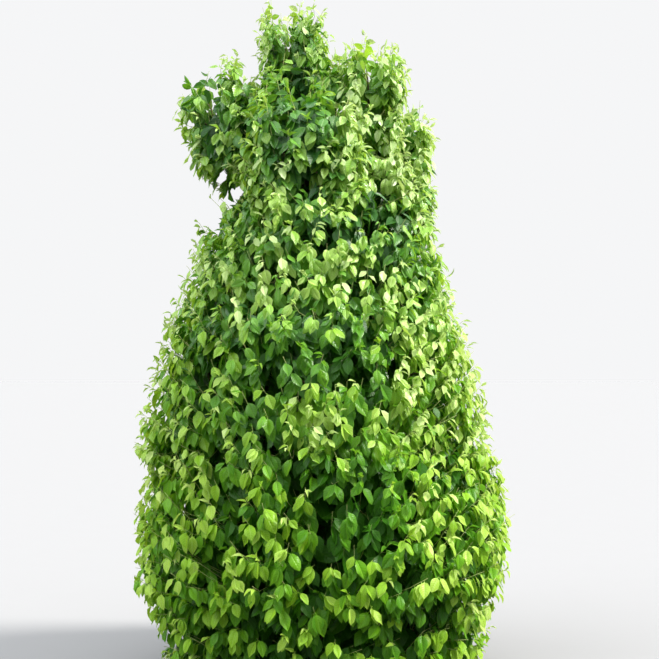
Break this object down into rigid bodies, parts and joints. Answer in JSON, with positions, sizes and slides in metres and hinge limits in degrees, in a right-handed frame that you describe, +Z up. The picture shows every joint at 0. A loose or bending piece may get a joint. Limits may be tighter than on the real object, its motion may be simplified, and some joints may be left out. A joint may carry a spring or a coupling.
{
  "type": "columnar hornbeam",
  "caption": "Whole broad-leaved tree, a rounded cone clad in hanging leaves from its upright heads to the ground, on a flared trunk that is cut flat at ground level.",
  "frame": {"origin": "centre of the flat cut under the trunk, at ground level", "axes": "+Z up along the trunk, +X to the viewer's right, -Y towards the viewer"},
  "size_m": [1.9897, 1.9896, 3.6344],
  "materials": {
    "bark": "fluted grey bark",
    "foliage": "mid green leaves, satin",
    "foliage_light": "lighter green leaves, satin"
  },
  "bodies": {
    "root": {"trunk": "bark", "bough_skirt_1": "bark", "bough_skirt_2": "bark", "bough_skirt_3": "bark", "bough_skirt_4": "bark", "bough_skirt_5": "bark", "bough_waist_1": "bark", "bough_waist_2": "bark", "bough_waist_3": "bark", "bough_waist_4": "bark", "bough_waist_5": "bark", "bough_breast_1": "bark", "bough_breast_2": "bark", "bough_breast_3": "bark", "bough_breast_4": "bark", "bough_breast_5": "bark", "bough_shoulder_1": "bark", "bough_shoulder_2": "bark", "bough_shoulder_3": "bark", "bough_shoulder_4": "bark", "bough_shoulder_5": "bark", "bough_head_left": "bark", "bough_head_front": "bark", "bough_head_right": "bark", "bough_head_far_right": "bark", "bough_head_back": "bark", "foliage_skirt_1": "foliage", "foliage_skirt_2": "foliage", "foliage_skirt_3": "foliage", "foliage_skirt_4": "foliage", "foliage_skirt_5": "foliage", "foliage_waist_1": "foliage", "foliage_waist_2": "foliage", "foliage_waist_3": "foliage", "foliage_waist_4": "foliage", "foliage_waist_5": "foliage", "foliage_breast_1": "foliage", "foliage_breast_2": "foliage", "foliage_breast_3": "foliage", "foliage_breast_4": "foliage", "foliage_breast_5": "foliage", "foliage_shoulder_1": "foliage", "foliage_shoulder_2": "foliage", "foliage_shoulder_3": "foliage", "foliage_shoulder_4": "foliage", "foliage_shoulder_5": "foliage", "foliage_head_left": "foliage_light", "foliage_head_front": "foliage_light", "foliage_head_right": "foliage_light", "foliage_head_far_right": "foliage_light", "foliage_head_back": "foliage_light", "foliage_head_spire": "foliage_light"}
  },
  "joints": []
}
